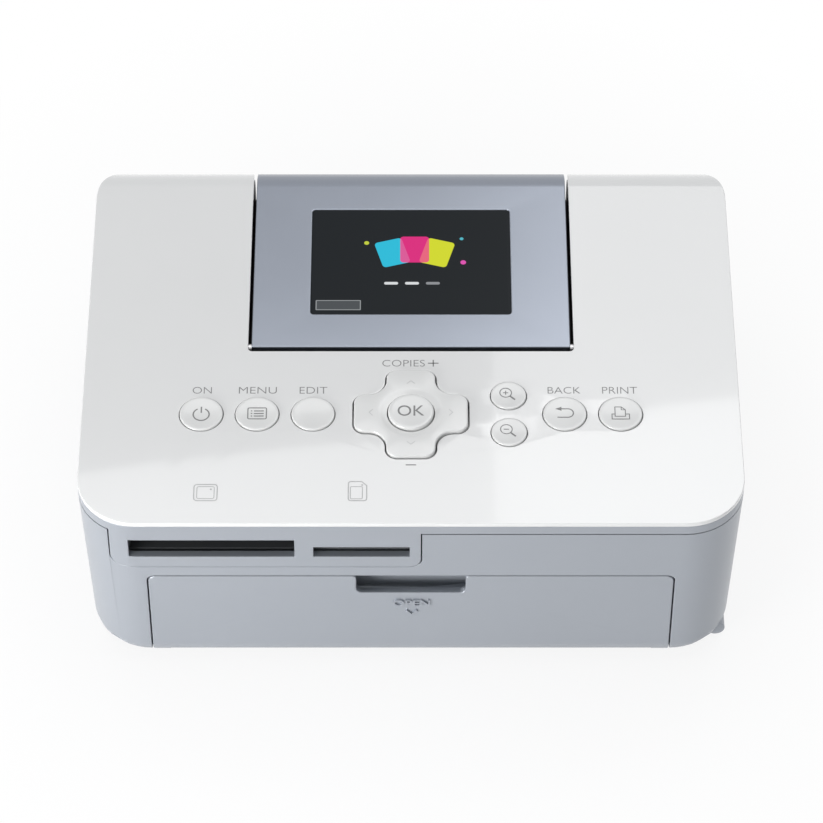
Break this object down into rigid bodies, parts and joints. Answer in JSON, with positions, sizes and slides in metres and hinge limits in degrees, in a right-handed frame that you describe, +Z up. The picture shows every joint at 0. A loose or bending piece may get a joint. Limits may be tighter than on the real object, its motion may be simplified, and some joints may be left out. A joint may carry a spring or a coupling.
{
  "type": "compact photo printer",
  "caption": "Compact dye-sublimation photo printer with a tilting screen, key row, card slots, front paper door and side ink cover",
  "frame": {"origin": "centre of the footprint, on the surface that the printer stands on", "axes": "+X to the right seen from the front, +Y to the rear, +Z up; the paper door is at -Y"},
  "size_m": [0.178, 0.1349, 0.0619],
  "materials": {
    "white_gloss": "glossy white",
    "silver_plastic": "satin silver paint",
    "screen_silver": "satin blue silver",
    "dark_plastic": "fine matte black",
    "grey_plastic": "matte grey",
    "key_white": "glossy white",
    "screen_black": "glossy black window",
    "rubber_dark": "matte rubber",
    "rubber_grey": "translucent grey silicone",
    "steel": "plain steel",
    "aluminium": "cast aluminium",
    "brass": "turned brass",
    "board_green": "solder mask",
    "nylon": "natural nylon",
    "ceramic": "glazed ceramic strip",
    "film": "dye film",
    "orange_plastic": "orange plastic"
  },
  "bodies": {
    "casing": {"top_plate": "white_gloss", "upper_frame": "silver_plastic", "main_case": "silver_plastic", "bottom_plate": "grey_plastic", "rubber_feet": "rubber_dark", "case_screws": "steel", "screen_well": "dark_plastic", "keypad_rubber": "rubber_grey", "control_board": "board_green", "large_card_slot": "dark_plastic", "small_card_slot": "dark_plastic", "main_board": "board_green", "dc_inlet": "dark_plastic", "data_port": "steel", "paper_bay": "grey_plastic", "paper_guide": "grey_plastic", "left_side_plate": "steel", "right_side_plate": "steel", "tie_bars": "steel", "shaft_bushes": "nylon", "motor_bracket": "steel", "drive_motor": "steel", "ribbon_motor": "steel", "head_springs": "steel"},
    "screen_unit": {"screen_bezel": "screen_silver", "screen_back_cover": "grey_plastic", "screen_window": "screen_black", "screen_module": "screen_black", "screen_hinge_pins": "steel"},
    "front_door": {"front_door": "silver_plastic"},
    "ink_cover": {"ink_cover": "silver_plastic"},
    "power_key": {"power_key": "key_white"},
    "menu_key": {"menu_key": "key_white"},
    "edit_key": {"edit_key": "key_white"},
    "zoom_in_key": {"zoom_in_key": "key_white"},
    "zoom_out_key": {"zoom_out_key": "key_white"},
    "back_key": {"back_key": "key_white"},
    "print_key": {"print_key": "key_white"},
    "ok_key": {"ok_key": "key_white"},
    "four_way_pivot": {"four_way_pivot": "grey_plastic"},
    "four_way_key": {"four_way_key": "key_white"},
    "feed_roller": {"feed_roller": "rubber_dark", "feed_gear": "nylon"},
    "capstan_roller": {"capstan_roller": "steel", "capstan_gear": "nylon"},
    "pinch_roller": {"pinch_roller": "rubber_dark"},
    "platen_roller": {"platen_roller": "rubber_dark", "platen_gear": "nylon"},
    "idler_gear": {"idler_gear": "nylon"},
    "motor_pinion": {"motor_pinion": "brass"},
    "ribbon_drive": {"ribbon_drive_dog": "nylon"},
    "head": {"head_arm": "steel", "heat_sink": "aluminium", "thermal_head": "ceramic"},
    "ink_cassette": {"ink_cassette_shell": "grey_plastic", "ink_ribbon": "film"},
    "supply_spool": {"supply_spool": "film"},
    "take_up_spool": {"take_up_spool": "film"},
    "ink_lock_lever": {"ink_lock_lever": "orange_plastic"}
  },
  "joints": [
    {"name": "screen_tilt", "type": "hinge", "parent": "casing", "child": "screen_unit", "pos_m": [0, -0.0031, 0.0576], "axis": [1, 0, 0], "range_deg": [0, 45]},
    {"name": "front_door_hinge", "type": "hinge", "parent": "casing", "child": "front_door", "pos_m": [0, -0.0634, 0.0054], "axis": [1, 0, 0], "range_deg": [0, 90]},
    {"name": "ink_cover_hinge", "type": "hinge", "parent": "casing", "child": "ink_cover", "pos_m": [0.084, 0, 0.0036], "axis": [0, 1, 0], "range_deg": [0, 80]},
    {"name": "power_key_press", "type": "slide", "parent": "casing", "child": "power_key", "axis": [0, 0, -1], "range_m": [0, 0.0003], "stiffness_N_per_m": 600},
    {"name": "menu_key_press", "type": "slide", "parent": "casing", "child": "menu_key", "axis": [0, 0, -1], "range_m": [0, 0.0003], "stiffness_N_per_m": 600},
    {"name": "edit_key_press", "type": "slide", "parent": "casing", "child": "edit_key", "axis": [0, 0, -1], "range_m": [0, 0.0003], "stiffness_N_per_m": 600},
    {"name": "zoom_in_key_press", "type": "slide", "parent": "casing", "child": "zoom_in_key", "axis": [0, 0, -1], "range_m": [0, 0.0003], "stiffness_N_per_m": 600},
    {"name": "zoom_out_key_press", "type": "slide", "parent": "casing", "child": "zoom_out_key", "axis": [0, 0, -1], "range_m": [0, 0.0003], "stiffness_N_per_m": 600},
    {"name": "back_key_press", "type": "slide", "parent": "casing", "child": "back_key", "axis": [0, 0, -1], "range_m": [0, 0.0003], "stiffness_N_per_m": 600},
    {"name": "print_key_press", "type": "slide", "parent": "casing", "child": "print_key", "axis": [0, 0, -1], "range_m": [0, 0.0003], "stiffness_N_per_m": 600},
    {"name": "ok_key_press", "type": "slide", "parent": "casing", "child": "ok_key", "axis": [0, 0, -1], "range_m": [0, 0.0003], "stiffness_N_per_m": 600},
    {"name": "four_way_left_right", "type": "hinge", "parent": "casing", "child": "four_way_pivot", "pos_m": [0, -0.02945, 0.056], "axis": [0, 1, 0], "range_deg": [-1.5, 1.5], "stiffness_Nm_per_rad": 0.4},
    {"name": "four_way_up_down", "type": "hinge", "parent": "four_way_pivot", "child": "four_way_key", "pos_m": [0, -0.02945, 0.056], "axis": [1, 0, 0], "range_deg": [-1.5, 1.5], "stiffness_Nm_per_rad": 0.4},
    {"name": "capstan_turn", "type": "hinge", "parent": "casing", "child": "capstan_roller", "pos_m": [0, -0.002, 0.0124], "axis": [1, 0, 0], "continuous": true},
    {"name": "feed_roller_turn", "type": "hinge", "parent": "casing", "child": "feed_roller", "pos_m": [0, -0.016, 0.0229], "axis": [1, 0, 0], "continuous": true},
    {"name": "idler_turn", "type": "hinge", "parent": "casing", "child": "idler_gear", "pos_m": [0, 0.01446, 0.01353], "axis": [1, 0, 0], "continuous": true},
    {"name": "platen_turn", "type": "hinge", "parent": "casing", "child": "platen_roller", "pos_m": [0, 0.0295, 0.011], "axis": [1, 0, 0], "continuous": true},
    {"name": "motor_turn", "type": "hinge", "parent": "casing", "child": "motor_pinion", "pos_m": [0, 0.00325, 0.02149], "axis": [1, 0, 0], "continuous": true},
    {"name": "pinch_turn", "type": "hinge", "parent": "casing", "child": "pinch_roller", "pos_m": [0, -0.002, 0.0192], "axis": [1, 0, 0], "continuous": true},
    {"name": "ribbon_drive_turn", "type": "hinge", "parent": "casing", "child": "ribbon_drive", "pos_m": [0, 0.04425, 0.028], "axis": [1, 0, 0], "continuous": true},
    {"name": "head_lift", "type": "hinge", "parent": "casing", "child": "head", "pos_m": [0, -0.0015, 0.0365], "axis": [1, 0, 0], "range_deg": [0, 4], "deforming": ["head_springs"]},
    {"name": "ink_cassette_eject", "type": "slide", "parent": "casing", "child": "ink_cassette", "axis": [1, 0, 0], "range_m": [0, 0.003]},
    {"name": "supply_turn", "type": "hinge", "parent": "ink_cassette", "child": "supply_spool", "pos_m": [0, 0.01475, 0.028], "axis": [1, 0, 0], "continuous": true},
    {"name": "take_up_turn", "type": "hinge", "parent": "ink_cassette", "child": "take_up_spool", "pos_m": [0, 0.04425, 0.028], "axis": [1, 0, 0], "continuous": true},
    {"name": "ink_lock_swing", "type": "hinge", "parent": "casing", "child": "ink_lock_lever", "pos_m": [0, -0.004, 0.026], "axis": [1, 0, 0], "range_deg": [0, 20]}
  ],
  "couplings": [
    {"joint": "feed_roller_turn", "follows": "capstan_turn", "ratio": -0.75},
    {"joint": "idler_turn", "follows": "capstan_turn", "ratio": -0.83333},
    {"joint": "platen_turn", "follows": "capstan_turn", "ratio": 1.2},
    {"joint": "motor_turn", "follows": "capstan_turn", "ratio": -2.5},
    {"joint": "pinch_turn", "follows": "capstan_turn", "ratio": -1.5385},
    {"joint": "take_up_turn", "follows": "ribbon_drive_turn", "ratio": 1},
    {"joint": "supply_turn", "follows": "ribbon_drive_turn", "ratio": 0.8}
  ]
}
